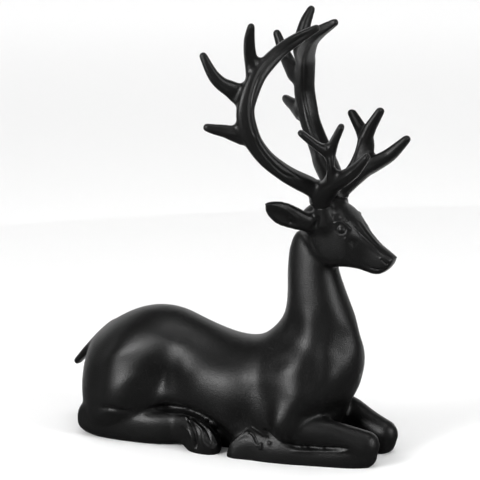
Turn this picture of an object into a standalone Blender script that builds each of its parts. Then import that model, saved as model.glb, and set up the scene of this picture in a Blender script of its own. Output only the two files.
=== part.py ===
"""A lying reindeer figurine: one casting for the animal, and two antlers seated on its head.

The figure looks along +X, its left side is +Y, and it lies on Z = 0. Metres.
"""

import math

import bmesh
import bpy
import numpy as np
from mathutils import Matrix, Vector

MM = 0.001

# Driving sizes, in millimetres.
SEAT = (78.5, 15.4, 205.5)  # middle of the left antler's seat on the head
SEAT_LEAN = (-0.10, 0.22, 1.0)  # the way that the antler's foot points
SEAT_GAP = 0.3  # between the head and an antler
SEAT_REACH = 11.0  # radius of the flat that carries the antler
SEAT_HEIGHT = 16.0  # how much is cut away above or below a seat
FOOT_REACH = 14.0  # radius of the cut under an antler's foot
GROUND_REACH = 220.0  # radius of the cut that makes the flat underside
GROUND_DEPTH = 40.0
BODY_GRAIN = 2.2  # voxel that joins the body's limbs
ANTLER_GRAIN = 1.4  # voxel that joins the antler's branches
BODY_TRIANGLES = 5600
ANTLER_TRIANGLES = 1500
SOFTENING = 3  # passes that soften the joins between limbs
CUTTER_SIDES = 32

# The trunk and neck, rump to head. Each ring: top (x, z), bottom (x, z), half width, and how far
# the widest place sits below the middle, as a share of the half height.
TRUNK = [
    ((-133, 59), (-133.5, 32), 15, 0.0),
    ((-129, 73.5), (-131, 14), 28, 0.1),
    ((-119, 85), (-123, 1), 38.5, 0.1),
    ((-103.5, 95), (-108, -6), 44.5, 0.1),
    ((-83, 103.2), (-85, -7), 46, 0.1),
    ((-60, 104.8), (-60, -7), 44, 0.1),
    ((-38, 99.2), (-34, -7), 42, 0.1),
    ((-18, 92.8), (-8, -7), 41, 0.1),
    ((0, 89.3), (18, -7), 39.5, 0.1),
    ((16, 89.8), (48, -5), 38, 0.1),
    ((28, 95.5), (76, 5), 36.5, 0.1),
    ((36.6, 105.5), (88.5, 21), 34, 0.1),
    ((42, 117), (101, 47), 30.5, 0.05),
    ((44.3, 130), (105.6, 80), 26, 0.0),
    ((45, 144), (100, 107), 21.5, 0.0),
    ((44.8, 158), (92, 132), 18.3, 0.0),
    ((47, 172), (86, 152), 16.8, 0.0),
    ((52.5, 185), (83, 168), 15.2, 0.0),
]

# The head, poll to nose, in the same way.
HEAD = [
    ((53, 189), (63, 171), 9, 0.0),
    ((56.5, 199.5), (70, 162), 14.5, 0.0),
    ((66, 206), (77, 157.5), 17.5, 0.0),
    ((79, 208.2), (86, 156), 18.5, 0.0),
    ((91, 205), (94, 155.8), 19.5, -0.2),
    ((99.5, 197.5), (100.5, 155), 18, -0.25),
    ((107, 188.5), (107, 153.8), 13.5, -0.1),
    ((114.5, 180), (113, 152.3), 11.2, 0.0),
    ((121.5, 173.4), (119, 151.4), 9.8, 0.0),
    ((128.5, 168.3), (124.5, 152.4), 8.8, 0.0),
    ((132.3, 165.3), (129.2, 155.8), 7, 0.0),
]

# Limbs of the left side: x, y, z of the middle, half width across and half height.
THIGH = [
    (-66, 18, 74, 20, 22),
    (-78, 25, 60, 20, 26),
    (-92, 30, 44, 18, 26),
    (-104, 32, 28, 15.5, 20),
    (-118, 31, 16, 13, 14),
]
STIFLE = [
    (-54, 20, 74, 16, 16),
    (-49, 29, 58, 14, 14),
    (-48, 31, 42, 13, 14),
    (-54, 31, 30, 12, 13),
]
SHANK = [
    (-121, 31.5, 11, 11.5, 12),
    (-106, 35.5, 11, 12, 13.5),
    (-84, 34.5, 12, 11, 16),
    (-58, 32.5, 14, 10.5, 17),
    (-38, 32, 15.5, 10.5, 15),
    (-26, 33.5, 14, 10.5, 14),
]
HIND_HOOF = [
    (-28, 34, 14, 10, 12),
    (-19, 39, 11, 10, 11),
    (-10, 41, 7, 9, 10),
    (-4, 41, 3, 8, 6.5),
]
UPPER_ARM = [
    (60, 15, 90, 16, 18),
    (58, 23, 72, 17.5, 20),
    (55, 28, 52, 17, 19),
    (53, 32, 34, 13.5, 16),
]
FOREARM = [
    (50, 34, 32, 11.5, 12.5),
    (66, 33, 27.5, 12, 11.5),
    (84, 29, 25.5, 11, 12),
    (102, 24, 22, 10, 11),
    (118.3, 19.7, 16, 11, 13.5),
]
CANNON = [
    (117.5, 19.5, 9.5, 10, 11),
    (104, 24, 7, 9.5, 10.5),
    (84, 29.5, 6, 9.5, 11),
    (62, 34, 6.5, 9.5, 11),
    (44, 37, 8, 9.5, 13),
    (30, 39, 9, 9.5, 15.5),
    (20, 39.5, 5, 9, 10.5),
    (14.5, 39.5, 2, 8, 6.5),
]
EAR = [
    (70, 15, 190, 5.5, 6.5),
    (64, 21, 193, 6, 7),
    (58, 30, 197.5, 4.5, 10),
    (53, 38, 202, 3.5, 10),
    (48, 46, 207, 2.6, 7),
    (45.5, 50, 209.5, 1.8, 3.4),
]
TAIL = [
    (-114, 0, 84, 9, 5),
    (-124, 0, 76.5, 9, 4),
    (-137, 0, 63, 8.5, 3.6),
    (-149, 0, 49.5, 7, 3.2),
]

PEDICLE = [
    (80, 13.0, 192, 9.5, 9.5),
    (78.5, 15.2, 204, 8.8, 8.8),
    (78.0, 16.4, 210, 8.4, 8.4),
]

# The left antler: x, y, z of the middle, half width and half height of each branch.
BEAM = [
    (78.5, 15.4, 200, 9, 9),
    (77.5, 15.4, 208, 8.6, 8.6),
    (72, 17.5, 217.5, 8, 8),
    (60, 29.8, 227.5, 7.2, 7.2),
    (53, 38.8, 234.5, 7, 7),
    (44.2, 48, 244.6, 6.8, 6.8),
    (37.2, 53, 256.8, 6.8, 6.8),
    (33, 55.5, 268.1, 7.1, 7.1),
    (30.7, 56, 277.3, 7.2, 7.2),
    (30.6, 55, 285.7, 7.2, 7.2),
    (32.4, 51.5, 297, 6.9, 6.9),
    (35.4, 46, 308.2, 6.6, 6.6),
    (39.5, 38.5, 316, 6.2, 6.2),
    (48, 28.5, 326.8, 5.5, 5.5),
    (58.4, 22, 335.2, 4.9, 4.9),
    (73, 18, 343, 3, 3),
]
TINES = [
    # lower rear tine
    [
        (36, 50, 261, 6, 6.5), (28.7, 57, 264.5, 5.5, 6.8),
        (23, 61.5, 266.2, 5, 5.2), (17.9, 65.5, 267.7, 4.6, 4.6),
        (11.6, 70, 269.3, 3.8, 3.8), (6.6, 73.8, 271, 3, 3),
    ],
    # rear fork
    [
        (31, 50, 289, 6, 7), (23.3, 53.5, 294.6, 6, 7),
        (18.9, 58, 298.3, 5.6, 5.8), (14.3, 62.5, 302.9, 5, 5),
        (10, 65.5, 308, 4.4, 4.4), (6.3, 67, 314.5, 3.8, 3.8),
        (1.4, 68, 326, 2.9, 2.9),
    ],
    # upper fork
    [
        (35.5, 46.5, 304, 6.4, 6.4), (31.9, 46.5, 315.4, 5.4, 5.4),
        (30.9, 48, 323.2, 4.8, 4.8), (31.5, 51, 330.6, 4.4, 4.4),
        (32.9, 54, 338.7, 3.9, 3.9), (35.8, 57.4, 347.6, 2.9, 2.9),
    ],
    # brow tine
    [
        (76, 17, 210, 8, 8), (86.9, 23, 221.5, 7.8, 7.8),
        (94, 28.5, 227.4, 6.8, 6.8), (100.6, 33, 231, 6, 6),
        (109.7, 37.5, 236.8, 5.3, 5.3), (115.7, 39, 241.9, 4.6, 4.6),
        (125.2, 42.2, 252, 2.9, 2.9),
    ],
    # stem of the front branch
    [
        (86, 24, 223, 6, 6), (90, 28.5, 230.6, 4.8, 6.8),
        (91.8, 32.5, 237.7, 4.2, 7.2), (92.4, 35, 243.7, 3.9, 7),
        (92.4, 36, 250.5, 4, 6.2),
    ],
    # rear tip of the front branch
    [
        (92.4, 35.5, 250, 4.4, 4.8), (88, 41, 255.3, 4, 4.4),
        (83.7, 44.5, 259, 3.5, 3.8), (75, 50.5, 267.6, 2.7, 2.7),
    ],
    # middle tip of the front branch
    [
        (92.2, 35.5, 249, 4.6, 5), (95.4, 37, 258.3, 4, 4.4),
        (98.4, 38.5, 264.2, 3.4, 3.6), (103.2, 40.2, 273, 2.6, 2.6),
    ],
]

SIDES = 20  # corners of a ring
STEPS = 4  # rings between two stations
DOME_ANGLES = (30, 55, 75)  # degrees of the rings that round off a limb's end


def curve_through(stations):
    """Rows of numbers along a smooth curve through the stations (Catmull-Rom)."""
    rows = [np.array(station, float) for station in stations]
    rows = [rows[0] * 2 - rows[1]] + rows + [rows[-1] * 2 - rows[-2]]
    out = []
    for a, b, c, d in zip(rows, rows[1:], rows[2:], rows[3:]):
        for step in range(STEPS):
            t = step / STEPS
            cubic = (3 * b - a - 3 * c + d) * t**3
            square = (2 * a - 5 * b + 4 * c - d) * t**2
            out.append((cubic + square + (c - a) * t + 2 * b) / 2)
    out.append(rows[-2])
    return out


def add_ring(bm, middle, side, top, sag=0.0):
    """One elliptical loop, whose widest place sits below its middle by sag of the half height."""
    frame = Matrix((side, top, side.cross(top).normalized())).transposed().to_4x4()
    frame.translation = middle
    made = bmesh.ops.create_circle(bm, segments=SIDES, radius=1.0, matrix=frame)
    for vert in made["verts"]:
        height = (vert.co - middle).dot(top) / top.length_squared
        vert.co += top * sag * (height**2 - 1)
    return made["verts"]


def join_rings(bm, rings):
    """Bridges the loops in turn and closes both ends."""
    for ring, following in zip(rings, rings[1:]):
        own = set(ring) | set(following)
        edges = {edge for vert in own for edge in vert.link_edges if set(edge.verts) <= own}
        bmesh.ops.bridge_loops(bm, edges=list(edges))
    bm.faces.new(rings[0])
    bm.faces.new(rings[-1])


def add_limb(bm, stations, hand=1):
    """A limb with round ends along its middle line. A hand of -1 puts it on the other side."""
    rows = curve_through(stations)
    middles = [Vector(row[:3]) for row in rows]
    last = len(rows) - 1
    flip = Vector((1, hand, 1)) * MM
    rings = []
    for i, (middle, row) in enumerate(zip(middles, rows)):
        along = (middles[min(i + 1, last)] - middles[max(i - 1, 0)]).normalized()
        side = along.cross((0, 0, 1)).normalized()
        top = side.cross(along)
        reach = min(row[3], row[4])
        turns = [0]
        if i == 0:
            turns = [-angle for angle in reversed(DOME_ANGLES)] + [0]
        if i == last:
            turns = [0, *DOME_ANGLES]
        for turn in turns:
            centre = middle + along * reach * math.sin(math.radians(turn))
            shrink = math.cos(math.radians(turn))
            wide = side * row[3] * shrink
            tall = top * row[4] * shrink
            rings.append(add_ring(bm, centre * flip, wide * flip, tall * flip))
    join_rings(bm, rings)


def add_trunk(bm, stations):
    """A body of rings across the plane of symmetry, each given by its top and its bottom."""
    rings = []
    for x_top, z_top, x_low, z_low, width, sag in curve_through([(*a, *b, w, s) for a, b, w, s in stations]):
        top = Vector((x_top, 0, z_top)) * MM
        low = Vector((x_low, 0, z_low)) * MM
        rings.append(add_ring(bm, (top + low) / 2, Vector((0, width * MM, 0)), (top - low) / 2, sag))
    join_rings(bm, rings)


def material(name, hex_colour, roughness):
    """A plain plastic-like finish."""
    made = bpy.data.materials.new(name)
    made.use_nodes = True
    shader = made.node_tree.nodes["Principled BSDF"]
    shades = [int(hex_colour[i : i + 2], 16) / 255 for i in (0, 2, 4)]
    linear = [shade / 12.92 if shade <= 0.04045 else ((shade + 0.055) / 1.055) ** 2.4 for shade in shades]
    shader.inputs["Base Color"].default_value = (*linear, 1)
    shader.inputs["Roughness"].default_value = roughness
    made.diffuse_color = (*linear, 1)
    return made


def place(bm, name, collection, finish=None):
    """Turns a bmesh into an object of the collection."""
    bmesh.ops.recalc_face_normals(bm, faces=bm.faces)
    mesh = bpy.data.meshes.new(name)
    bm.to_mesh(mesh)
    bm.free()
    if finish:
        mesh.materials.append(finish)
    made = bpy.data.objects.new(name, mesh)
    collection.objects.link(made)
    return made


def fuse(piece, grain, triangles, cutters):
    """Joins a piece's overlapping limbs into one skin, thins it out, and cuts its flats."""
    skin = piece.modifiers.new("one skin", "REMESH")
    skin.mode = "VOXEL"
    skin.voxel_size = grain * MM
    soft = piece.modifiers.new("soft joins", "SMOOTH")
    soft.factor = 0.5
    soft.iterations = SOFTENING
    bpy.context.view_layer.update()
    dense = piece.evaluated_get(bpy.context.evaluated_depsgraph_get()).data
    count = sum(len(face.vertices) - 2 for face in dense.polygons)
    thin = piece.modifiers.new("fewer faces", "DECIMATE")
    thin.ratio = triangles / count
    for cutter in cutters:
        cut = piece.modifiers.new(cutter.name, "BOOLEAN")
        cut.operation = "DIFFERENCE"
        cut.solver = "EXACT"
        cut.object = cutter


def seat_frame(hand, lift):
    """Where the antler of one side meets the head: +Z points along the antler's foot."""
    lean = Vector((SEAT_LEAN[0], SEAT_LEAN[1] * hand, SEAT_LEAN[2])).normalized()
    turned = lean.to_track_quat("Z", "Y").to_matrix().to_4x4()
    turned.translation = (Vector((SEAT[0], SEAT[1] * hand, SEAT[2])) + lean * lift) * MM
    return turned


def add_cutter(name, frame, radius, depth, collection):
    """A round cutter that stands on the frame's plane, or hangs from it where depth is negative."""
    bm = bmesh.new()
    middle = frame @ Matrix.Translation((0, 0, depth * MM / 2))
    bmesh.ops.create_cone(
        bm, cap_ends=True, segments=CUTTER_SIDES, radius1=radius * MM, radius2=radius * MM,
        depth=abs(depth) * MM, matrix=middle,
    )
    made = place(bm, name, collection)
    made.hide_render = True
    made.display_type = "WIRE"
    return made


def build_reindeer(finish, collection, cutters):
    """The casting: trunk, head, legs, ears and tail in one."""
    bm = bmesh.new()
    add_trunk(bm, TRUNK)
    add_trunk(bm, HEAD)
    add_limb(bm, TAIL)
    for hand in (1, -1):
        for limb in (THIGH, STIFLE, SHANK, HIND_HOOF, UPPER_ARM, FOREARM, CANNON, EAR, PEDICLE):
            add_limb(bm, limb, hand)
    fuse(place(bm, "reindeer", collection, finish), BODY_GRAIN, BODY_TRIANGLES, cutters)


def build_antler(name, hand, finish, collection, cutter):
    """One antler: a curved beam and its tines."""
    bm = bmesh.new()
    add_limb(bm, BEAM, hand)
    for tine in TINES:
        add_limb(bm, tine, hand)
    fuse(place(bm, name, collection, finish), ANTLER_GRAIN, ANTLER_TRIANGLES, [cutter])


for old in list(bpy.data.objects):
    bpy.data.objects.remove(old)
figure = bpy.data.collections.new("lying_reindeer")
helpers = bpy.data.collections.new("cutters")
bpy.context.scene.collection.children.link(figure)
bpy.context.scene.collection.children.link(helpers)

ground = add_cutter("ground", Matrix.Identity(4), GROUND_REACH, -GROUND_DEPTH, helpers)
body_black = material("satin_black_resin", "161616", 0.5)
antler_black = material("satin_black_antler_resin", "151515", 0.45)
head_flats = []
for side_name, side_hand in (("left", 1), ("right", -1)):
    head_flats.append(
        add_cutter(f"seat_{side_name}", seat_frame(side_hand, 0), SEAT_REACH, SEAT_HEIGHT, helpers)
    )
    foot = add_cutter(
        f"foot_{side_name}", seat_frame(side_hand, SEAT_GAP), FOOT_REACH, -SEAT_HEIGHT, helpers
    )
    build_antler(f"antler_{side_name}", side_hand, antler_black, figure, foot)
build_reindeer(body_black, figure, [ground, *head_flats])
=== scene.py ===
"""Lying reindeer figurine: a cast animal with two antlers seated on its head, all in satin black."""

import math

import bmesh
import bpy
import numpy as np
from mathutils import Matrix, Vector
from mathutils.bvhtree import BVHTree


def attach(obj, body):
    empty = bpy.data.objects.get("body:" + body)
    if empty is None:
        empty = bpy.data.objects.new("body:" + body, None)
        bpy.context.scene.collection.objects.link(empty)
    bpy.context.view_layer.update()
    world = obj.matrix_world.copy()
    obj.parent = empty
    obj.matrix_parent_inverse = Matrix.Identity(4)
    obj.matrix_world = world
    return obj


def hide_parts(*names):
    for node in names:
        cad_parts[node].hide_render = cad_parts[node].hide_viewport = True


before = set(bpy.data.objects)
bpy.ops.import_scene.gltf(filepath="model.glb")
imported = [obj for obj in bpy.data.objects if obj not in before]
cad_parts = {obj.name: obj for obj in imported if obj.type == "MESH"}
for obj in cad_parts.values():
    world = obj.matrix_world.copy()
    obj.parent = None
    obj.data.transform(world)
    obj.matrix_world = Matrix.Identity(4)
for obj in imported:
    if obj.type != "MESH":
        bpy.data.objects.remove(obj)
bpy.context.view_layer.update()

# ---------------------------------------------------------------------------------------
# Camera and lamps. A long lens looks a little down at the animal's right side. Softboxes at
# the tail end, the head end and overhead draw long soft highlights on the black paint, and
# a broad lamp behind draws the bright rims. The ceiling lamp lights only the floor.
# ---------------------------------------------------------------------------------------
MM = 0.001
AIM = Vector((0, 0, 0.167))  # the middle of the figurine's height
AZIMUTH = 25.0  # degrees, from straight at its right side towards its face
ELEVATION = 13.0
DISTANCE = 1.92
FOCAL_LENGTH, SENSOR_WIDTH = 180, 36
VIEW_DEPTH = 50
LAMPS = [
    # name, azimuth and elevation in degrees, distance, width and height in metres, power in watts
    ("softbox_rear", AZIMUTH - 48, 25, 1.6, 0.45, 0.7, 19),
    ("softbox_front", AZIMUTH + 57, 22, 1.8, 0.4, 0.8, 11),
    ("softbox_top", 60, 84, 1.6, 0.7, 0.7, 5),
    ("backdrop_light", AZIMUTH + 180, 13, 3.0, 6.0, 1.3, 25),
    ("ceiling", 0, 90, 3.0, 9.0, 9.0, 197),
]
DIM_ROOM = (0.05, 0.05, 0.05, 1)

scene = bpy.context.scene
stage = bpy.data.collections.new("stage")
scene.collection.children.link(stage)
scene.view_settings.view_transform = "Standard"


def direction(azimuth, elevation):
    """The way from the figurine to something at these angles. Zero azimuth is square to its right side."""
    turn, rise = math.radians(azimuth), math.radians(elevation)
    return Vector((math.sin(turn) * math.cos(rise), -math.cos(turn) * math.cos(rise), math.sin(rise)))


def stand(data, place, target):
    """Puts a camera or a lamp at a place, turned to a target."""
    made = bpy.data.objects.new(data.name, data)
    made.location = place
    made.rotation_euler = (target - place).to_track_quat("-Z", "Y").to_euler()
    scene.collection.objects.link(made)
    return made


lens = bpy.data.cameras.new("camera")
lens.lens, lens.sensor_width = FOCAL_LENGTH, SENSOR_WIDTH
lens.clip_end = VIEW_DEPTH
scene.camera = stand(lens, AIM + direction(AZIMUTH, ELEVATION) * DISTANCE, AIM)

for name, azimuth, elevation, distance, width, height, power in LAMPS:
    light = bpy.data.lights.new(name, "AREA")
    light.shape = "RECTANGLE"
    light.size, light.size_y = width, height
    light.energy = power
    lamp = stand(light, AIM + direction(azimuth, elevation) * distance, AIM)
    lamp.visible_camera = False
    if name == "ceiling":
        lamp.light_linking.receiver_collection = stage

world = bpy.data.worlds.new("dim room")
world.use_nodes = True
world.node_tree.nodes["Background"].inputs["Color"].default_value = DIM_ROOM
scene.world = world

# ---------------------------------------------------------------------------------------
# The floor. A wide sheet of matt white background paper. Cards hidden just under it are
# what the glossy paint mirrors: white behind the figurine, for thin bright rims round it,
# and dark grey in front, which keeps its near side black.
# ---------------------------------------------------------------------------------------
FLOOR_RADIUS = 6.0
DISC_SIDES = 64
MATT = 0.9  # roughness of paper and card
PAPER_WHITE = "ECECEC"
CARDS = [
    # name, colour, radius, drop below the paper, and where its edges lie, in degrees from straight behind
    ("dark_card", "4A4A4A", 6.0, 2, ()),
    ("white_card", "E0E0E0", 5.0, 1, (-60, 54)),
]


def linear(hex_colour):
    """An sRGB hex colour as the linear values that a shader takes."""
    shades = [int(hex_colour[i : i + 2], 16) / 255 for i in (0, 2, 4)]
    return [s / 12.92 if s <= 0.04045 else ((s + 0.055) / 1.055) ** 2.4 for s in shades]


def new_material(name, hex_colour, roughness):
    """A Principled material of one colour and roughness."""
    made = bpy.data.materials.new(name)
    made.use_nodes = True
    sockets = made.node_tree.nodes["Principled BSDF"].inputs
    sockets["Base Color"].default_value = (*linear(hex_colour), 1)
    sockets["Roughness"].default_value = roughness
    return made


def add_object(bm, name, finish=None, collection=scene.collection):
    """Turns a bmesh into a smooth-shaded object, with a material if it has one yet."""
    mesh = bpy.data.meshes.new(name)
    bm.to_mesh(mesh)
    bm.free()
    if finish:
        mesh.materials.append(finish)
    mesh.polygons.foreach_set("use_smooth", [True] * len(mesh.polygons))
    made = bpy.data.objects.new(name, mesh)
    collection.objects.link(made)
    return made


def disc(radius, drop=0.0):
    """A flat round sheet, a few millimetres below the floor where a drop is given."""
    bm = bmesh.new()
    place = Matrix.Translation((0, 0, -drop * MM))
    bmesh.ops.create_circle(bm, cap_ends=True, segments=DISC_SIDES, radius=radius, matrix=place)
    return bm


# Matt white background paper: soft, even, with no gloss.
paper = new_material("white_background_paper", PAPER_WHITE, MATT)
floor = add_object(disc(FLOOR_RADIUS), "floor", paper, stage)
floor.visible_glossy = False
floor.visible_shadow = False

for name, hex_colour, radius, drop, edge_turns in CARDS:
    bm = disc(radius, drop)
    for edge_turn in edge_turns:
        beyond = direction(AZIMUTH + 180 + edge_turn + math.copysign(90, edge_turn), 0)
        whole = bm.verts[:] + bm.edges[:] + bm.faces[:]
        bmesh.ops.bisect_plane(bm, geom=whole, plane_co=(0, 0, 0), plane_no=beyond, clear_outer=True)
    # Painted card: matt, one even shade.
    card = add_object(bm, f"floor_{name}", new_material(name, hex_colour, MATT), stage)
    card.visible_camera = False
    card.visible_shadow = False

# ---------------------------------------------------------------------------------------
# The animal. One hollow casting in resin, sprayed satin black, that rests on its flat
# underside. Its soft masses are pressed together first, then the crisper head, legs, ears
# and tail are joined on, and the fine lines are carved last.
# ---------------------------------------------------------------------------------------
# Satin black spray paint over cast resin. The fine orange peel of the sprayed coat breaks each
# highlight into tiny grains, and hands and dust leave broad patches, a little glossier or greyer.
# The shader's own IOR of 1.5 is that of paint.
PAINT_BLACK = "0D0D0D"
PATCH_BLACKS = ("0B0B0B", "111111")
PAINT_ROUGHNESS = 0.42
PATCH_ROUGHNESS = (0.33, 0.44)
PATCH_SIZE = 30  # millimetres, as every size and place is from here on
PEEL_SIZE = 0.8  # about 0.3 mm on a real coat, and drawn coarser so that it shows
PEEL_DEPTH = 0.22


def add_node(material, kind, **sockets):
    """Adds one shader node. Each socket is linked to another node's output or set to a plain value."""
    node = material.node_tree.nodes.new(kind)
    for name, value in sockets.items():
        socket = node.inputs[name.replace("_", " ")]
        if isinstance(value, bpy.types.NodeSocket):
            material.node_tree.links.new(value, socket)
        else:
            socket.default_value = value
    return node


satin = new_material("satin_black_paint", PAINT_BLACK, PAINT_ROUGHNESS)
place = add_node(satin, "ShaderNodeTexCoord").outputs["Object"]
peel = add_node(satin, "ShaderNodeTexNoise", Vector=place, Scale=1 / (PEEL_SIZE * MM), Detail=2.0)
patches = add_node(satin, "ShaderNodeTexNoise", Vector=place, Scale=1 / (PATCH_SIZE * MM), Detail=3.0)
bump = add_node(
    satin, "ShaderNodeBump", Height=peel.outputs["Fac"], Strength=1.0, Distance=PEEL_DEPTH * MM
)
glossiest, dullest = PATCH_ROUGHNESS
gloss = add_node(
    satin, "ShaderNodeMapRange", Value=patches.outputs["Fac"], To_Min=glossiest, To_Max=dullest
)
shade = add_node(satin, "ShaderNodeValToRGB", Fac=patches.outputs["Fac"])
for stop, hex_colour in zip(shade.color_ramp.elements, PATCH_BLACKS):
    stop.color = (*linear(hex_colour), 1)
shader = satin.node_tree.nodes["Principled BSDF"]
for output, socket in (
    (bump.outputs["Normal"], "Normal"),
    (gloss.outputs["Result"], "Roughness"),
    (shade.outputs["Color"], "Base Color"),
):
    satin.node_tree.links.new(output, shader.inputs[socket])

# The shaping tools.
RING_SIDES = 24
STEPS = 4  # rings between two stations
DOME_ANGLES = (30, 55, 75)  # degrees, of the rings that round off a limb's end
OVAL = 2.0  # squareness of a ring: 2 is an ellipse, and more makes it boxier
STROKE_REACH = 3  # half widths from a stroke's line past which it does nothing
STROKE_TURN = (1.5, 0.2)  # how a stroke weakens on skin that turns away from it
STROKE_FADE = 0.7  # power of the fade at a stroke's ends
BESIDE = 300  # how far out a stroke's point starts before it is pressed in
PLANE_TOLERANCE = 1e-7  # metres


def curve_through(stations):
    """Rows of numbers along a smooth curve through the stations (Catmull-Rom)."""
    rows = [np.array(station, float) for station in stations]
    rows = [rows[0] * 2 - rows[1]] + rows + [rows[-1] * 2 - rows[-2]]
    out = []
    for a, b, c, d in zip(rows, rows[1:], rows[2:], rows[3:]):
        for step in range(STEPS):
            t = step / STEPS
            cubic = (3 * b - a - 3 * c + d) * t**3
            square = (2 * a - 5 * b + 4 * c - d) * t**2
            out.append((cubic + square + (c - a) * t + 2 * b) / 2)
    out.append(rows[-2])
    return out


def add_ring(bm, middle, side, top, sag=0.0, square=OVAL):
    """One closed loop, whose widest place sits below its middle by sag of its half height."""
    across = Matrix((side, top, side.cross(top).normalized())).transposed().to_4x4()
    across.translation = middle
    made = bmesh.ops.create_circle(bm, segments=RING_SIDES, radius=1.0, matrix=across)
    for vert in made["verts"]:
        out = vert.co - middle
        height = out.dot(top) / top.length_squared
        width = out.dot(side) / side.length_squared
        vert.co = middle + out / (abs(width) ** square + abs(height) ** square) ** (1 / square)
        vert.co += top * sag * (height**2 - 1)
    return made["verts"]


def once_each(items):
    """The items in their first order, each one only once."""
    return list(dict.fromkeys(items))


def join_rings(bm, rings):
    """Bridges the loops in turn and closes both ends."""
    for ring, following in zip(rings, rings[1:]):
        pair = set(ring) | set(following)
        around = (edge for vert in [*ring, *following] for edge in vert.link_edges)
        edges = once_each(edge for edge in around if set(edge.verts) <= pair)
        bmesh.ops.bridge_loops(bm, edges=edges)
    bm.faces.new(rings[0])
    bm.faces.new(rings[-1])


def add_limb(bm, stations, hand=1, square=OVAL, lean=0, broad=None, extra=0.0):
    """A limb with round ends along its middle line. A hand of -1 puts it on the other side. Its rings lie
    level, turned by lean in degrees, or are wide along broad where it is given. Extra fattens them."""
    rows = curve_through(stations)
    middles = [Vector(row[:3]) for row in rows]
    last = len(rows) - 1
    flip = Vector((1, hand, 1)) * MM
    rings = []
    for i, (middle, row) in enumerate(zip(middles, rows)):
        along = (middles[min(i + 1, last)] - middles[max(i - 1, 0)]).normalized()
        if broad is None:
            side = along.cross((0, 0, 1)).normalized()
            side.rotate(Matrix.Rotation(math.radians(lean), 3, along))
        else:
            side = (broad - along * broad.dot(along)).normalized()
        top = side.cross(along)
        half_width, half_height = row[3] + extra, row[4] + extra
        turns = [0]
        if i == 0:
            turns = [-angle for angle in reversed(DOME_ANGLES)] + [0]
        if i == last:
            turns = [0, *DOME_ANGLES]
        for turn in turns:
            centre = middle + along * min(half_width, half_height) * math.sin(math.radians(turn))
            shrink = math.cos(math.radians(turn))
            wide = side * half_width * shrink * flip
            tall = top * half_height * shrink * flip
            rings.append(add_ring(bm, centre * flip, wide, tall, square=square))
    join_rings(bm, rings)


def add_trunk(bm, stations, square=OVAL):
    """A body of rings across the plane of symmetry, each given by its top and its bottom."""
    rows = [(*top, *low, half_width, sag) for top, low, half_width, sag in stations]
    rings = []
    for x_top, z_top, x_low, z_low, half_width, sag in curve_through(rows):
        top = Vector((x_top, 0, z_top)) * MM
        low = Vector((x_low, 0, z_low)) * MM
        side = Vector((0, half_width * MM, 0))
        rings.append(add_ring(bm, (top + low) / 2, side, (top - low) / 2, sag, square))
    join_rings(bm, rings)


def finished(rough):
    """The shape that an object's modifiers make. The object itself is thrown away."""
    bpy.context.view_layer.update()
    graph = bpy.context.evaluated_depsgraph_get()
    out = bmesh.new()
    out.from_mesh(bpy.data.meshes.new_from_object(rough.evaluated_get(graph)))
    bpy.data.objects.remove(rough)
    return out


def fuse(bm, grain):
    """Joins overlapping closed shapes into one even skin, as clay is pressed together."""
    bmesh.ops.recalc_face_normals(bm, faces=bm.faces)
    rough = add_object(bm, "rough")
    skin = rough.modifiers.new("one skin", "REMESH")
    skin.mode = "VOXEL"
    skin.voxel_size = grain * MM
    return finished(rough)


def scoop(bm, hollow):
    """Takes one closed shape out of another."""
    bmesh.ops.recalc_face_normals(hollow, faces=hollow.faces)
    rough = add_object(bm, "rough")
    tool = add_object(hollow, "tool")
    scooped = rough.modifiers.new("scoop", "BOOLEAN")
    scooped.operation, scooped.solver = "DIFFERENCE", "MANIFOLD"
    scooped.object = tool
    out = finished(rough)
    bpy.data.objects.remove(tool)
    return out


def soften(bm, passes, verts=None):
    """Rubs the skin smoother, all over or at these vertices."""
    for _ in range(passes):
        bmesh.ops.smooth_vert(
            bm, verts=verts or bm.verts, factor=0.5, use_axis_x=True, use_axis_y=True, use_axis_z=True
        )


def swell(bm, amount):
    """Moves the skin outwards all over, or inwards where the amount is negative."""
    bm.normal_update()
    for vert, normal in [(vert, vert.normal.copy()) for vert in bm.verts]:
        vert.co += normal * amount * MM


def inside(low, high):
    """A test for points within a box. Its y runs outwards from the middle of the body, on both sides."""

    def test(spot):
        x, y, z = (value / MM for value in spot)
        return all(a <= value <= b for a, value, b in zip(low, (x, abs(y), z), high))

    return test


def verts_where(bm, test):
    """The vertices of a region."""
    return [vert for vert in bm.verts if test(vert.co)]


def land(tree, point, hand):
    """Where a stroke's point meets the skin, and the way the skin faces there: (x, z) is pressed in
    from the side, and (x, y, z) goes to the nearest spot."""
    if len(point) == 2:
        start = Vector((point[0] * MM, BESIDE * MM * hand, point[1] * MM))
        return tree.ray_cast(start, Vector((0, -hand, 0)))[:2]
    return tree.find_nearest(Vector((point[0], point[1] * hand, point[2])) * MM)[:2]


def measure_from(spots, places):
    """How far each place is from the line through the spots, and its share of the way along it."""
    gap = np.full(len(places), np.inf)
    along = np.zeros(len(places))
    for i, (a, b) in enumerate(zip(spots, spots[1:])):
        reach = b - a
        share = np.clip((places - a) @ reach / max(reach @ reach, 1e-9), 0, 1)
        off = np.linalg.norm(places - a - share[:, None] * reach, axis=1)
        along = np.where(off < gap, (i + share) / (len(spots) - 1), along)
        gap = np.minimum(gap, off)
    return gap, along


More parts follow.
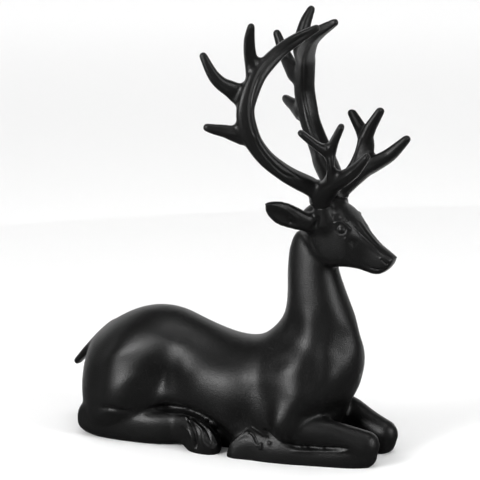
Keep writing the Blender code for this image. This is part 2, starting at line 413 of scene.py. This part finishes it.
def carve(bm, strokes, hands=(1, -1)):
    """Raises or sinks soft lines in the skin. Each stroke gives its half width and its height, the share
    of its length that fades at either end, and the points of its line."""
    bm.normal_update()
    tree = BVHTree.FromBMesh(bm)
    places = np.array([vert.co for vert in bm.verts]) / MM
    normals = np.array([vert.normal for vert in bm.verts])
    lift = np.zeros(len(places))
    for hand in hands:
        for width, height, fade, *line in strokes:
            landed = [land(tree, point, hand) for point in line]
            spots = np.array([spot for spot, _ in landed]) / MM
            facing = np.mean([normal for _, normal in landed], axis=0)
            spots = np.array(curve_through(spots)) if len(line) > 1 else np.vstack([spots, spots])
            low, high = spots.min(0) - STROKE_REACH * width, spots.max(0) + STROKE_REACH * width
            near = np.flatnonzero(((places > low) & (places < high)).all(1))
            gap, along = measure_from(spots, places[near])
            slope, start = STROKE_TURN
            turned = np.clip(slope * (normals[near] @ facing) + start, 0, 1)
            strength = np.exp(-((gap / width) ** 2)) * turned
            if fade:
                strength *= np.clip(np.minimum(along, 1 - along) / fade, 0, 1) ** STROKE_FADE
            lift[near] += height * strength
    for vert, amount in zip(bm.verts, lift):
        vert.co += vert.normal * amount * MM


def cut(bm, point, normal, test=None):
    """Saws the shape flat at a plane, throws away what is beyond it, and closes the flat."""
    faces = [face for face in bm.faces if test is None or test(face.calc_center_median())]
    edges = once_each(edge for face in faces for edge in face.edges)
    verts = once_each(vert for face in faces for vert in face.verts)
    made = bmesh.ops.bisect_plane(
        bm,
        geom=faces + edges + verts,
        dist=PLANE_TOLERANCE,
        plane_co=point,
        plane_no=normal,
        clear_outer=True,
    )
    rim = [item for item in made["geom_cut"] if isinstance(item, bmesh.types.BMEdge)]
    bmesh.ops.holes_fill(bm, edges=rim, sides=0)


# First the soft masses. The trunk and neck run from rump to head. Each ring: top (x, z), bottom (x, z),
# half width, and how far the widest place sits below the middle, as a share of the half height.
TRUNK = [
    ((-135, 61), (-133.5, 32), 15, 0.0),
    ((-131, 74), (-132, 14), 27, 0.2),
    ((-119.5, 85), (-125, 1), 37.5, 0.15),
    ((-104, 95.5), (-109, -6), 44, 0.12),
    ((-83, 104.2), (-85, -7), 47, 0.05),
    ((-60, 105.4), (-60, -7), 46, 0.0),
    ((-38, 98.2), (-34, -7), 43, 0.0),
    ((-18, 91.4), (-8, -7), 46.5, 0.05),
    ((0, 88), (18, -7), 48, 0.05),
    ((16, 89.8), (48, -5), 45, 0.05),
    ((27.4, 96), (73, 5), 42, 0.15),
    ((36.2, 106), (82.5, 21), 41, 0.35),
    ((42, 117), (97.5, 48), 34, 0.35),
    ((43.2, 130), (107.3, 80), 26, 0.15),
    ((42.8, 144), (101.3, 107), 21.5, 0.0),
    ((42.2, 158), (91, 132), 18, 0.1),
    ((44.2, 172), (84, 152), 14.8, 0.2),
    ((49.8, 185), (83, 168), 12.4, 0.2),
]
# Limbs of the left side: x, y, z of the middle, half width and half height.
THIGH = [
    (-64, 15, 76, 21, 26),
    (-73, 21, 64, 21.5, 30),
    (-81, 27, 50, 21.5, 30),
    (-88, 31, 37, 19, 22),
    (-98, 32, 27, 15.5, 16),
    (-110, 33, 19, 14.5, 15),
]
STIFLE = [
    (-54, 20, 74, 16, 16),
    (-49, 29, 58, 14, 14),
    (-48, 31, 42, 13, 14),
    (-54, 31, 30, 12, 13),
]
UPPER_ARM = [
    (74, 8, 104, 19, 16.5),
    (67, 15, 89, 22, 18),
    (60.5, 22.5, 72, 24, 19.5),
    (60, 28, 54, 24, 20),
    (59, 31, 40, 23, 16),
    (57.5, 31.5, 29, 19.5, 13),
]
# The hollow under the flank that the hind foot lies in.
FOOT_HOLLOW = [
    (-62, 30, 19, 14, 11),
    (-48, 34, 20, 17, 14),
    (-36, 37, 20, 18, 15.5),
    (-20, 40, 18, 18, 16),
    (-8, 42, 13, 18, 15.5),
    (4, 43, 5, 18, 14),
]
SOFT_GRAIN = 2.2  # voxel that joins the masses
FIRST_RUB, LONG_RUB, LAST_RUB = 12, 25, 10  # passes of smoothing
SHOULDER_CREASE = inside((20, 28, 0), (46, 60, 88))  # the long rub spares it
# Strokes of the carving: half width, height (below zero where it is sunk), fade, and points of the line.
SOFT_STROKES = [
    # hollow in front of the haunch
    (11, -3.5, 0.3, (-44, 84), (-47, 76), (-51, 64), (-55, 52), (-56, 42)),
    (12, -5.5, 0.0, (-54, 58), (-57, 46), (-59, 38)),
    (13, -3.5, 0.0, (-46, 56), (-46, 46), (-45, 38)),
    (10, -1.2, 0.3, (-52, 70), (-45, 68), (-36, 66)),
    (7, -1.4, 0.0, (-43, 88)),
    (6, -0.9, 0.3, (-50, 54), (-50, 42)),
    # hollow in front of the flank fold
    (9, -2.0, 0.3, (-36, 66), (-36, 52), (-36, 40)),
    # slope of the haunch
    (16, -2.0, 0.2, (-88, 72), (-84, 63), (-80, 54)),
    # foot of the haunch
    (18, 4.6, 0.0, (-90, 36), (-92, 26), (-94, 16)),
    # round of the rump
    (11, 1.0, 0.3, (-112, 74), (-102, 84), (-86, 90), (-70, 93)),
    # barrel
    (16, 2.0, 0.3, (-26, 64), (-4, 62), (20, 66)),
    # crease behind the shoulder
    (4, -1.2, 0.3, (29, 88), (32, 74), (33.5, 60), (34, 45), (33.5, 28)),
    # edge of the shoulder
    (8, 1.6, 0.3, (42, 86), (39, 72), (38, 58)),
    # hollow behind the shoulder
    (10, -1.2, 0.3, (28, 66), (28, 50), (28, 38)),
    # belly tucked under
    (11, -5.0, 0.2, (12, 26), (22, 30), (34, 32)),
    # foot of the shoulder
    (9, 3.0, 0.0, (59, 38), (59, 26), (59, 16)),
    (6, 2.0, 0.2, (55.5, 54), (55.5, 38), (56.5, 26)),
    # front of the shoulder
    (8, 1.8, 0.3, (72, 68), (70, 54), (68, 44)),
    # fold over the forearm
    (8, -4.5, 0.2, (70, 44), (77, 41), (86, 40), (94, 42)),
    # base of the neck
    (12, -2.0, 0.3, (60, 100), (72, 95), (86, 90)),
    # hollows at the side of the neck
    (9, -2.6, 0.3, (58, 120), (56, 106), (53, 90), (54, 76)),
    (8, -1.6, 0.0, (43, 106), (42, 98)),
    (9, -1.6, 0.3, (66, 112), (66, 98), (64, 78)),
    # ridges between the hollows of the neck
    (8, 1.8, 0.3, (52, 94), (51, 82)),
    (7, 1.2, 0.3, (71, 122), (70, 110), (68, 98)),
    # hollow beside the chest
    (8, -2.2, 0.3, (80, 124), (81, 105), (79, 88), (75, 70)),
    (11, -3.2, 0.3, (98, 108), (95.5, 96), (92, 86)),
    # side of the breast
    (9, 3.2, 0.3, (93, 80), (90, 70), (85, 59), (79, 47)),
]
FLANK_FOLD = (4, 0.7, 0.3, (-47, 78), (-46, 62), (-45, 40))
PLUMP = 0.9  # makes up for what the rubbing wears off

soft = bmesh.new()
add_trunk(soft, TRUNK)
hollow = bmesh.new()
for hand in (1, -1):
    for limb in (THIGH, STIFLE, UPPER_ARM):
        add_limb(soft, limb, hand)
    add_limb(hollow, FOOT_HOLLOW, hand)
soft = scoop(fuse(soft, SOFT_GRAIN), fuse(hollow, SOFT_GRAIN))
soft = fuse(soft, SOFT_GRAIN)
soften(soft, FIRST_RUB)
soften(soft, LONG_RUB, verts_where(soft, lambda spot: not SHOULDER_CREASE(spot)))
carve(soft, SOFT_STROKES)
soften(soft, LAST_RUB)
carve(soft, [FLANK_FOLD])
swell(soft, PLUMP)

# Then the crisper pieces. The head runs from poll to nose, with rings as the trunk's.
HEAD = [
    ((53, 189), (63, 171), 9, 0.0),
    ((57.5, 198.5), (70, 162), 14.5, 0.1),
    ((67, 205.2), (77, 157.5), 17, 0.2),
    ((79, 208), (86, 156.4), 18, 0.25),
    ((90.6, 204.6), (94, 156.4), 18.5, 0.1),
    ((99.8, 197.4), (100.5, 156), 16.8, 0.1),
    ((107.4, 188.2), (106.6, 155.2), 12.3, 0.2),
    ((114.6, 180), (112.5, 153.2), 10.3, 0.2),
    ((121.8, 173.8), (118.8, 152), 9.4, 0.2),
    ((129.4, 169), (125.2, 153.8), 8.2, 0.1),
    ((133.8, 166), (130.4, 158.6), 6.5, 0.0),
]
SHANK = [
    (-120.4, 31.5, 13.4, 11.6, 13.2),
    (-106, 34, 12, 12.3, 13.5),
    (-84, 34, 12.3, 12.8, 14.5),
    (-60, 32.6, 12.4, 12.3, 14),
    (-42, 28, 13.2, 11.3, 13.4),
    (-30, 26, 12.4, 11, 13),
]
HIND_FOOT = [
    (-44, 28.5, 15, 10, 12.5),
    (-30, 32.5, 14, 10, 13),
    (-20, 37.5, 10.5, 10, 14),
    (-13, 39, 6.5, 10, 13.5),
    (-9.5, 39.5, 3, 9.5, 12),
]
# The forearms differ a little. The right one is given as if on the left, and mirrored as the rest are.
RIGHT_FOREARM = [
    (50, 34, 32, 11.5, 12.5),
    (66, 33, 27.5, 12, 11.5),
    (84, 29, 25.5, 11, 12),
    (102, 24, 22, 10.5, 11),
    (118, 19.7, 15, 11, 14),
]
LEFT_FOREARM = [
    (50, 34, 32, 11.5, 12.5),
    (66, 33, 29.6, 12, 11.5),
    (84, 29, 28, 11, 12),
    (102, 24, 21.4, 10.5, 11),
    (118.4, 20, 13.5, 11, 13.2),
]
CANNON = [
    (117.5, 19.5, 9.5, 10, 11),
    (104, 24, 5.5, 9.5, 10.5),
    (84, 28, 4.2, 10, 11),
    (62, 32.5, 5, 10.5, 12.6),
    (46, 34.8, 5, 10.5, 14.2),
    (35, 37, 6.5, 9, 13.6),
    (27.5, 38.5, 7.4, 8, 13.2),
    (20, 39, 3.5, 8, 13),
    (16, 39.5, 0, 8, 9.5),
]
EAR = [
    (70, 15, 190, 6.5, 7.2),
    (65, 21, 192.6, 6.5, 7.6),
    (58, 30, 197.2, 5.4, 9.2),
    (53, 38, 201.7, 4.4, 9.4),
    (48.3, 46, 207.2, 3.2, 6.6),
    (46.2, 49.5, 210.3, 2.2, 3.2),
]
TAIL = [
    (-114, 0, 84, 9, 5),
    (-124, 0, 76.5, 9, 4),
    (-137, 0, 63, 8.5, 3.6),
    (-149, 0, 49.5, 7, 3.2),
]
PEDICLE = [
    (80, 13.0, 192, 9.5, 9.5),
    (78.5, 15.2, 204, 7.9, 7.9),
    (78.0, 16.4, 210, 7.5, 7.5),
]
HEAD_SQUARE = 3.6
LEG_SQUARE = 3.0
EAR_SQUARE = 3.0
EAR_LEAN = 18  # degrees that its hollow front is turned down
FINE_GRAIN = 2.15  # voxel that joins the crisper pieces on
LIGHT_RUB = 2

add_trunk(soft, HEAD, HEAD_SQUARE)
add_limb(soft, TAIL)
for hand, forearm in ((1, LEFT_FOREARM), (-1, RIGHT_FOREARM)):
    add_limb(soft, forearm, hand)
    add_limb(soft, PEDICLE, hand)
    add_limb(soft, EAR, hand, EAR_SQUARE, EAR_LEAN)
    for limb in (SHANK, HIND_FOOT, CANNON):
        add_limb(soft, limb, hand, LEG_SQUARE)
skin = fuse(soft, FINE_GRAIN)
soften(skin, LIGHT_RUB)

# Last the fine carving, on skin that is made finer where it is carved.
FINER_REGIONS = [
    ((42, 0, 150), (140, 60, 215)),  # head and ears
    ((-98, 30, 8), (4, 60, 34)),  # hind legs
    ((4, 24, 0), (112, 60, 42)),  # forelegs
    ((-38, 30, 0), (4, 60, 30)),  # hind feet
    ((8, 30, 0), (50, 60, 30)),  # fore hooves
    ((84, 4, 178), (106, 30, 200)),  # eyes
    ((116, 0, 150), (140, 30, 172)),  # nose
]
LEG_STROKES = [
    # fold between haunch and shank
    (2.2, -1.8, 0.2, (-104, 27), (-94, 29), (-84, 28), (-74, 26)),
    # folds of the hind foot
    (1.6, -2.4, 0.1, (-28, 26), (-22.5, 22), (-18.5, 17), (-16.5, 10), (-16, 4)),
    (1.3, 0.8, 0.2, (-33, 20), (-26, 18.5), (-22, 15.5), (-19.5, 10.6), (-19.5, 5)),
    (1.0, 1.3, 0.1, (-34.7, 38, 26.1), (-26.4, 40, 25.1), (-18.7, 43, 22), (-12.4, 45, 18.3),
     (-9.7, 47, 10.9), (-5.2, 48, 6.9), (-1.9, 47, 5.4)),
    (1.0, -1.4, 0.2, (-22, 40, 25.5), (-12, 42, 22), (-6.5, 45, 16), (-4, 46, 9)),
    (0.9, 1.0, 0.1, (-10, 41, 21), (-4.2, 43, 17), (-0.6, 44, 11), (-0.6, 44, 8.1), (-3.2, 46, 5)),
    # ridge along the top of the shank and foot
    (0.7, 0.7, 0.1, (-67.3, 38, 26.5), (-59.2, 36, 27.9), (-44.3, 35, 27), (-35.3, 35, 27.7),
     (-20.9, 37, 25.1), (-11.9, 37, 22.1), (-5.3, 38, 18.3), (-1.7, 38, 12.9)),
    # crease between forearm and cannon, and the ridge below it
    (1.6, -2.2, 0.1, (40.6, 26.7), (45.8, 22.4), (51.4, 19.2), (63.5, 15.5), (79.8, 15.1),
     (95.6, 15.5), (109, 16.6)),
    (1.2, 0.6, 0.2, (63, 11.5), (74, 11.6), (87.5, 12.5), (103, 13.8), (111.7, 15.8)),
    # edges of the fore hoof
    (0.8, 0.7, 0.1, (11.7, 9.2), (19.2, 17.1), (26.2, 25.1)),
    # crease behind the hoof, and its lips
    (0.9, -1.2, 0.1, (26.5, 22.5), (32, 19.5), (36.5, 13.5)),
    (0.8, 0.5, 0.1, (26.3, 21.2), (33, 18), (36.5, 11.8)),
    (0.8, 0.6, 0.1, (28.5, 26.9), (36.3, 23.6), (40.6, 20.1)),
    # dewclaws
    (1.3, 1.0, 0.2, (38.9, 15.5), (39, 10)),
    (1.5, 0.8, 0, (45.8, 15.8)),
]
BROW_SIDE = inside((82, 6, 192), (97, 26, 206))
BROW_RUB = 8
EYE = (94.6, 187.9)


def circle(x, z, radius, start=0, end=360):
    """Points of a ring or an arc on the side of the head."""
    turns = [math.radians(turn) for turn in range(start, end + 1, 30)]
    return [(x + radius * math.cos(turn), z + radius * math.sin(turn)) for turn in turns]


HEAD_STROKES = [
    # socket
    (0.9, -0.6, 0, *circle(*EYE, 3.3)),
    # eyeball
    (1.8, 0.9, 0, EYE),
    # upper lid
    (0.6, 0.5, 0.3, *circle(*EYE, 3.2, 20, 160)),
    # lower lid
    (0.7, 0.35, 0.3, *circle(*EYE, 4.2, 190, 330)),
    # brow bone
    (1.1, 1.3, 0.2, (88.4, 192.4), (91.1, 194), (93.6, 194.4), (96.4, 192.6), (99.4, 190),
     (101.4, 188.2)),
    (1.8, 1.2, 0, (97.5, 14.5, 195.5)),
    # inner corner
    (1.0, 0.5, 0, (101.2, 188.2)),
    # cheekbone, below the eye
    (1.2, 0.4, 0, (98.3, 181.2)),
    # hollow over the brow
    (2.2, -0.8, 0.2, (87, 17.5, 197), (90, 17, 198.4), (94, 15.5, 198)),
    # hollow before the eye
    (3.2, -0.8, 0.3, (100.5, 15.5, 180.5), (106, 12.5, 175.5)),
    # ridge along the nose
    (0.8, 0.6, 0.1, (102.5, 11.6, 190), (108.7, 8.8, 183), (115.5, 6.8, 176.4), (121.5, 6, 171),
     (127.8, 5.6, 167)),
    # flat of the nose
    (1.6, -0.6, 0.2, (104, 4, 193), (112, 3, 183), (121, 2.5, 174.5)),
    # nostril
    (0.8, -1.1, 0, (125.5, 8, 165), (127.5, 7.8, 163), (129, 7, 161.8)),
    # rim of the nostril
    (0.9, 0.5, 0, (124.5, 8.4, 166.5), (127.5, 7.4, 166.3), (130.3, 6, 164)),
    # mouth
    (0.7, -0.8, 0.3, (110, 159.8), (116, 158.4), (122, 157), (127.6, 8, 158), (130, 4, 159)),
    # behind the cheek
    (2.2, -0.9, 0.3, (68.5, 184), (70, 175), (75, 166)),
    # hollow of the ear
    (4.2, -1.2, 0.35, (48.5, 207), (52, 203.5), (55.5, 200.5), (59, 196.8), (62.5, 193.5)),
    (1.8, -1.2, 0.2, (58.5, 195), (61.5, 193), (64.3, 192.5)),
    # rims of the ear
    (0.8, 0.7, 0.1, (48, 210.5), (53, 208.4), (57, 205), (61, 200.4), (64.5, 195.6)),
    (0.8, 0.5, 0.1, (47.8, 205.5), (50.2, 199.2), (55, 194), (60, 191)),
    # behind the ear's root
    (1.6, -1.6, 0.2, (75.8, 198.4), (76.2, 194), (72.4, 187)),
]

for low, high in FINER_REGIONS:
    region = inside(low, high)
    picked = [face for face in skin.faces if region(face.calc_center_median())]
    edges = once_each(edge for face in picked for edge in face.edges)
    bmesh.ops.subdivide_edges(skin, edges=edges, cuts=1, use_grid_fill=True)
    soften(skin, LIGHT_RUB, verts_where(skin, region))
carve(skin, LEG_STROKES)
soften(skin, BROW_RUB, verts_where(skin, BROW_SIDE))
carve(skin, HEAD_STROKES)

# The underside is sawn flat, and so is a seat for each antler.
SEAT = Vector((78.5, 15.4, 205.5))  # middle of the left antler's seat
SEAT_LEAN = Vector((-0.10, 0.22, 1.0))  # the way that its antler's foot points
SEAT_RADIUS = 13  # how far round its middle the seat is sawn


def seat_plane(hand, gap=0.0):
    """A point of an antler's seat, or a gap above it, and the way that the seat faces."""
    flip = Vector((1, hand, 1))
    up = (SEAT_LEAN * flip).normalized()
    return (SEAT * flip + up * gap) * MM, up


cut(skin, (0, 0, 0), (0, 0, -1))
for hand in (1, -1):
    middle, up = seat_plane(hand)
    cut(skin, middle, up, lambda spot: (spot - middle).length < SEAT_RADIUS * MM)
reindeer = add_object(skin, "reindeer_casting", satin)
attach(reindeer, "root")
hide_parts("reindeer")

# ---------------------------------------------------------------------------------------
# The antlers. Two resin castings in the same black paint, mirror images of each other, each
# glued to its seat on the head with a fine ring joint. Beams and tines are flattened, with
# soft webs in the forks and shallow grooves along them.
# ---------------------------------------------------------------------------------------
BROAD_WAY = Vector((0.42, 0.91, 0.0))  # along which the left antler's sections are wide
BEAM = [
    (78.5, 15.4, 200, 7.2, 7.2),
    (77.5, 15.4, 208, 7, 7),
    (72.8, 18, 218, 8.6, 7.1),
    (61, 31.2, 228, 10, 6.4),
    (54, 39.8, 235.1, 9.2, 6.2),
    (45, 48.4, 245.3, 8, 6.3),
    (37.4, 53.6, 257.2, 7.5, 6.6),
    (33.5, 56.3, 268.3, 7.4, 7.1),
    (31.3, 57, 277.5, 7.5, 7.2),
    (31, 56, 285.9, 7.5, 6.9),
    (33, 52.5, 297.2, 7.1, 7),
    (36, 47, 308.4, 6.8, 6.8),
    (40, 39.5, 316.2, 6.4, 6.1),
    (48.2, 29.2, 327, 5.5, 5.3),
    (58.4, 22.3, 335.2, 4.7, 4.7),
    (73, 18, 344, 2.9, 2.9),
]
TINES = [
    # lower rear tine
    [
        (35, 54.5, 262, 5.5, 6), (28.7, 57, 264.2, 5.7, 8),
        (23, 61.5, 265.6, 5.2, 6.1), (17.9, 65.5, 267.7, 4.8, 5),
        (11.6, 70, 269.3, 4, 4.1), (6.6, 73.8, 271, 3.1, 3.2),
    ],
    # rear fork
    [
        (30.5, 55, 289, 5.5, 6.5), (23.3, 54.5, 295.2, 4.4, 7.6),
        (18.9, 58, 299.2, 5, 6.6), (14.1, 62.5, 303.1, 5.2, 5.4),
        (9.8, 65.5, 308.2, 4.6, 4.8), (5.9, 67, 314.7, 4, 4.1),
        (1, 68.4, 325, 3, 3.1),
    ],
    # upper fork
    [
        (34, 48.5, 304, 5.4, 5.6), (32.1, 46.5, 315.4, 6.4, 5.6),
        (31.1, 48, 323.2, 5.7, 5), (31.7, 51, 330.6, 5.1, 4.6),
        (33.1, 54, 338.7, 4.5, 4.1), (36, 57.4, 347.8, 3.1, 2.9),
    ],
    # brow tine
    [
        (76, 17, 210, 8, 8), (86.9, 23, 221.5, 8, 7.8),
        (94, 28.5, 227.4, 8.3, 6.8), (100.6, 33, 231, 7.6, 6),
        (109.7, 37.5, 236.8, 6.7, 5.3), (115.7, 39, 241.9, 5.7, 4.6),
        (125.2, 42.2, 252, 3.9, 2.9),
    ],
    # stem of the front branch
    [
        (86, 24, 223, 8, 5), (90, 28.5, 230.6, 9.3, 3.8),
        (92.2, 32.5, 237.7, 9.6, 3.2), (92.9, 35, 243.7, 9.4, 3.1),
        (92.8, 36, 250.5, 8, 3.6),
    ],
    # rear tip of the front branch
    [
        (92.4, 35.5, 250, 6, 4), (88, 41, 255.3, 6, 3.8),
        (83.7, 44.5, 259, 5.4, 3.3), (74.6, 50.7, 268, 4, 2.7),
    ],
    # middle tip of the front branch
    [
        (92.2, 35.5, 249, 6.2, 4.2), (95.4, 37, 258.3, 6, 3.8),
        (98.4, 38.5, 264.2, 5.3, 3.3), (103.3, 40.3, 273.2, 4, 2.7),
    ],
]
GROOVES = [
    # outer side of the beam
    (1.1, -0.9, 0.1, (69.6, 30, 227.7), (61.6, 232.9), (53.2, 241.7), (45.2, 253.9),
     (40.6, 265.6), (37.8, 277.2), (36.9, 288.7), (37.4, 298.3), (39.8, 310.7), (45, 321.1),
     (53, 329.4), (62.5, 336.8), (70, 341)),
    (1.0, 0.6, 0.1, (61, 235.2), (52.2, 244.4), (44.6, 256), (39.6, 267)),
    # inner side of the beam
    (1.1, -0.8, 0.1, (52, 38, 243), (43, 44, 254.5), (36, 49, 268), (33, 50, 280),
     (34, 45.5, 293), (36.5, 40, 305), (42, 32, 315.5), (50, 24, 326)),
    # rear tines and upper fork
    (0.9, 0.6, 0.2, (30, 264.8), (23, 266.2), (17.9, 267.7), (11.6, 269.3), (7.5, 270.6)),
    (0.9, 0.6, 0.2, (30, 291), (18.9, 298.6), (14.1, 303.1), (9.8, 308.2), (5.9, 314.7),
     (2.5, 322)),
    (0.9, 0.6, 0.2, (34, 309), (31.1, 323.2), (31.7, 330.6), (33.1, 338.7), (35.2, 345)),
    # brow tine
    (0.9, 0.6, 0.2, (91, 224.5), (100.6, 231), (109.7, 236.8), (115.7, 241.9), (122.5, 249)),
    # front branch
    (0.9, 0.6, 0.2, (89.5, 227), (91.8, 237.7), (92.4, 249)),
    (0.8, 0.5, 0.2, (92, 250), (88, 255.3), (83.7, 259), (77, 265.6)),
    (0.8, 0.5, 0.2, (92.4, 250), (95.4, 258.3), (98.4, 264.2), (102, 270.6)),
]
BEAM_SQUARE = 3.2
TINE_SQUARE = 2.5
WEB = 2.5  # swelling the branches by this and shrinking them again webs the forks
ANTLER_GRAIN = 0.8
ANTLER_RUB = 3
SEAT_GAP = 0.3  # the ring joint

for side_name, hand in (("left", 1), ("right", -1)):
    antler = bmesh.new()
    add_limb(antler, BEAM, hand, BEAM_SQUARE, broad=BROAD_WAY, extra=WEB)
    for tine in TINES:
        add_limb(antler, tine, hand, TINE_SQUARE, broad=BROAD_WAY, extra=WEB)
    antler = fuse(antler, ANTLER_GRAIN)
    soften(antler, ANTLER_RUB)
    swell(antler, -WEB)
    antler = fuse(antler, ANTLER_GRAIN)
    soften(antler, ANTLER_RUB)
    carve(antler, GROOVES, (hand,))
    foot, up = seat_plane(hand, SEAT_GAP)
    cut(antler, foot, -up)
    piece = add_object(antler, f"antler_casting_{side_name}", satin)
    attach(piece, "root")
    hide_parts(f"antler_{side_name}")
